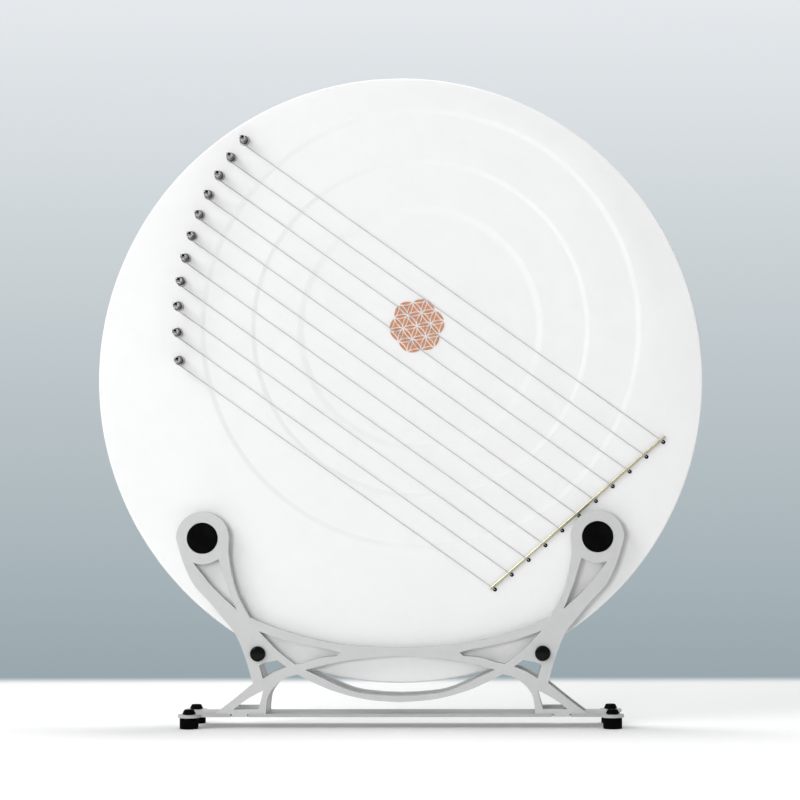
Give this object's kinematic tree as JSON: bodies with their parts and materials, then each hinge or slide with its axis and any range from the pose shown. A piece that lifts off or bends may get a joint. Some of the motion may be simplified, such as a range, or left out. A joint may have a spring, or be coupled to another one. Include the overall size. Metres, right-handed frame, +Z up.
{
  "type": "lyre harp",
  "caption": "Round frosted quartz lyre with parallel steel strings, tuning pins, a bridge rod and a copper rosette, standing in a two-plate metal cradle on rubber feet.",
  "frame": {"origin": "on the floor under the middle of the stand", "axes": "+X to the right seen from the front, -Y towards the player and the strings, +Z up"},
  "size_m": [0.405, 0.055, 0.4342],
  "materials": {
    "quartz": "frosted white",
    "copper": "satin copper",
    "brass": "polished",
    "nylon": "pale nylon",
    "string_steel": "plain drawn wire",
    "chrome": "polished",
    "aluminium": "fine satin",
    "rubber": "matte black",
    "black_cap": "glossy black",
    "steel": "plain"
  },
  "bodies": {
    "stand": {"base_plate": "aluminium", "cradle_plate_front": "aluminium", "cradle_plate_rear": "aluminium", "pad_front_left": "rubber", "pad_front_right": "rubber", "pad_rear_left": "rubber", "pad_rear_right": "rubber", "cap_nut_front_left": "black_cap", "cap_nut_front_right": "black_cap", "cap_nut_rear_left": "black_cap", "cap_nut_rear_right": "black_cap", "cross_bolt_left": "steel", "cross_bolt_right": "steel", "spacer_sleeve_left": "steel", "spacer_sleeve_right": "steel", "foot_front_left": "rubber", "foot_front_right": "rubber", "foot_rear_left": "rubber", "foot_rear_right": "rubber", "base_screw_front_left": "steel", "base_screw_front_right": "steel", "base_screw_rear_left": "steel", "base_screw_rear_right": "steel"},
    "disc": {"crystal_disc": "quartz", "rosette_inlay": "copper", "bridge_rod": "brass", "pin_bushing_01": "nylon", "pin_bushing_02": "nylon", "pin_bushing_03": "nylon", "pin_bushing_04": "nylon", "pin_bushing_05": "nylon", "pin_bushing_06": "nylon", "pin_bushing_07": "nylon", "pin_bushing_08": "nylon", "pin_bushing_09": "nylon", "pin_bushing_10": "nylon", "pin_bushing_11": "nylon", "string_01": "string_steel", "string_02": "string_steel", "string_03": "string_steel", "string_04": "string_steel", "string_05": "string_steel", "string_06": "string_steel", "string_07": "string_steel", "string_08": "string_steel", "string_09": "string_steel", "string_10": "string_steel", "string_11": "string_steel"},
    "pin_01": {"tuning_pin_01": "chrome"},
    "pin_02": {"tuning_pin_02": "chrome"},
    "pin_03": {"tuning_pin_03": "chrome"},
    "pin_04": {"tuning_pin_04": "chrome"},
    "pin_05": {"tuning_pin_05": "chrome"},
    "pin_06": {"tuning_pin_06": "chrome"},
    "pin_07": {"tuning_pin_07": "chrome"},
    "pin_08": {"tuning_pin_08": "chrome"},
    "pin_09": {"tuning_pin_09": "chrome"},
    "pin_10": {"tuning_pin_10": "chrome"},
    "pin_11": {"tuning_pin_11": "chrome"}
  },
  "joints": [
    {"name": "disc_lift", "type": "slide", "parent": "stand", "child": "disc", "axis": [0, 0, 1], "range_m": [0, 0.12]},
    {"name": "pin_01_turn", "type": "hinge", "parent": "disc", "child": "pin_01", "pos_m": [-0.10323, 0, 0.39323], "axis": [0, 1, 0], "continuous": true},
    {"name": "pin_02_turn", "type": "hinge", "parent": "disc", "child": "pin_02", "pos_m": [-0.11213, 0, 0.38172], "axis": [0, 1, 0], "continuous": true},
    {"name": "pin_03_turn", "type": "hinge", "parent": "disc", "child": "pin_03", "pos_m": [-0.12015, 0, 0.36958], "axis": [0, 1, 0], "continuous": true},
    {"name": "pin_04_turn", "type": "hinge", "parent": "disc", "child": "pin_04", "pos_m": [-0.12728, 0, 0.35679], "axis": [0, 1, 0], "continuous": true},
    {"name": "pin_05_turn", "type": "hinge", "parent": "disc", "child": "pin_05", "pos_m": [-0.13352, 0, 0.34334], "axis": [0, 1, 0], "continuous": true},
    {"name": "pin_06_turn", "type": "hinge", "parent": "disc", "child": "pin_06", "pos_m": [-0.1388, 0, 0.3292], "axis": [0, 1, 0], "continuous": true},
    {"name": "pin_07_turn", "type": "hinge", "parent": "disc", "child": "pin_07", "pos_m": [-0.14308, 0, 0.31431], "axis": [0, 1, 0], "continuous": true},
    {"name": "pin_08_turn", "type": "hinge", "parent": "disc", "child": "pin_08", "pos_m": [-0.14625, 0, 0.29862], "axis": [0, 1, 0], "continuous": true},
    {"name": "pin_09_turn", "type": "hinge", "parent": "disc", "child": "pin_09", "pos_m": [-0.14818, 0, 0.28202], "axis": [0, 1, 0], "continuous": true},
    {"name": "pin_10_turn", "type": "hinge", "parent": "disc", "child": "pin_10", "pos_m": [-0.14867, 0, 0.26437], "axis": [0, 1, 0], "continuous": true},
    {"name": "pin_11_turn", "type": "hinge", "parent": "disc", "child": "pin_11", "pos_m": [-0.14743, 0, 0.24545], "axis": [0, 1, 0], "continuous": true}
  ]
}
